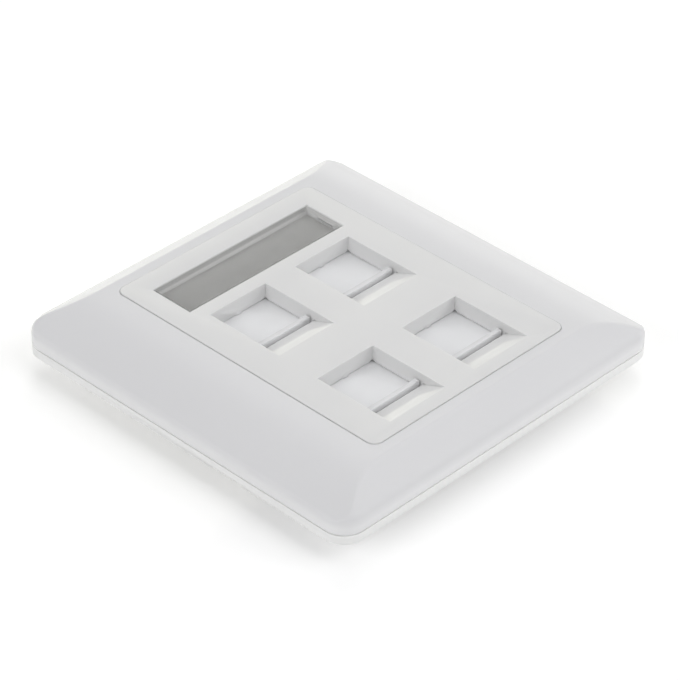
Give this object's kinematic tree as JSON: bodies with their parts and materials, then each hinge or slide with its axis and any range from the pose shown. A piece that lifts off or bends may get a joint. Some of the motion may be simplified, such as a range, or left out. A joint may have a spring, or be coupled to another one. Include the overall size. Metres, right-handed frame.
{
  "type": "keystone faceplate",
  "caption": "Square wall faceplate for keystone jacks, with a clip-on cover frame, a label window and spring-closed sliding dust shutters behind sloping ports.",
  "frame": {"origin": "centre of the back of the base flange, on the wall plane, midway between the two wall-box screws", "axes": "+Z out of the wall towards the user, +Y up towards the label window, +X to the right seen from the front"},
  "size_m": [0.086, 0.086, 0.015],
  "materials": {
    "panel": "fine satin moulded white plastic",
    "cover": "smooth glossy white plastic",
    "shutter": "smooth white plastic",
    "jack_frame": "plain moulded white plastic",
    "spring": "drawn spring wire",
    "card": "plain uncoated card",
    "window": "clear polished plastic"
  },
  "bodies": {
    "plate": {"base_plate": "panel", "cover_frame": "cover", "label_card": "card", "label_window": "window", "jack_frame_1": "jack_frame", "shutter_spring_1": "spring", "jack_frame_2": "jack_frame", "shutter_spring_2": "spring", "jack_frame_3": "jack_frame", "shutter_spring_3": "spring", "jack_frame_4": "jack_frame", "shutter_spring_4": "spring"},
    "shutter_1": {"shutter_1": "shutter"},
    "shutter_2": {"shutter_2": "shutter"},
    "shutter_3": {"shutter_3": "shutter"},
    "shutter_4": {"shutter_4": "shutter"}
  },
  "joints": [
    {"name": "shutter_slide_1", "type": "slide", "parent": "plate", "child": "shutter_1", "axis": [0, 1, 0], "range_m": [0, 0.01095], "stiffness_N_per_m": 30, "springref_m": -0.008, "deforming": ["shutter_spring_1"]},
    {"name": "shutter_slide_2", "type": "slide", "parent": "plate", "child": "shutter_2", "axis": [0, 1, 0], "range_m": [0, 0.01095], "stiffness_N_per_m": 30, "springref_m": -0.008, "deforming": ["shutter_spring_2"]},
    {"name": "shutter_slide_3", "type": "slide", "parent": "plate", "child": "shutter_3", "axis": [0, 1, 0], "range_m": [0, 0.01095], "stiffness_N_per_m": 30, "springref_m": -0.008, "deforming": ["shutter_spring_3"]},
    {"name": "shutter_slide_4", "type": "slide", "parent": "plate", "child": "shutter_4", "axis": [0, 1, 0], "range_m": [0, 0.01095], "stiffness_N_per_m": 30, "springref_m": -0.008, "deforming": ["shutter_spring_4"]}
  ]
}
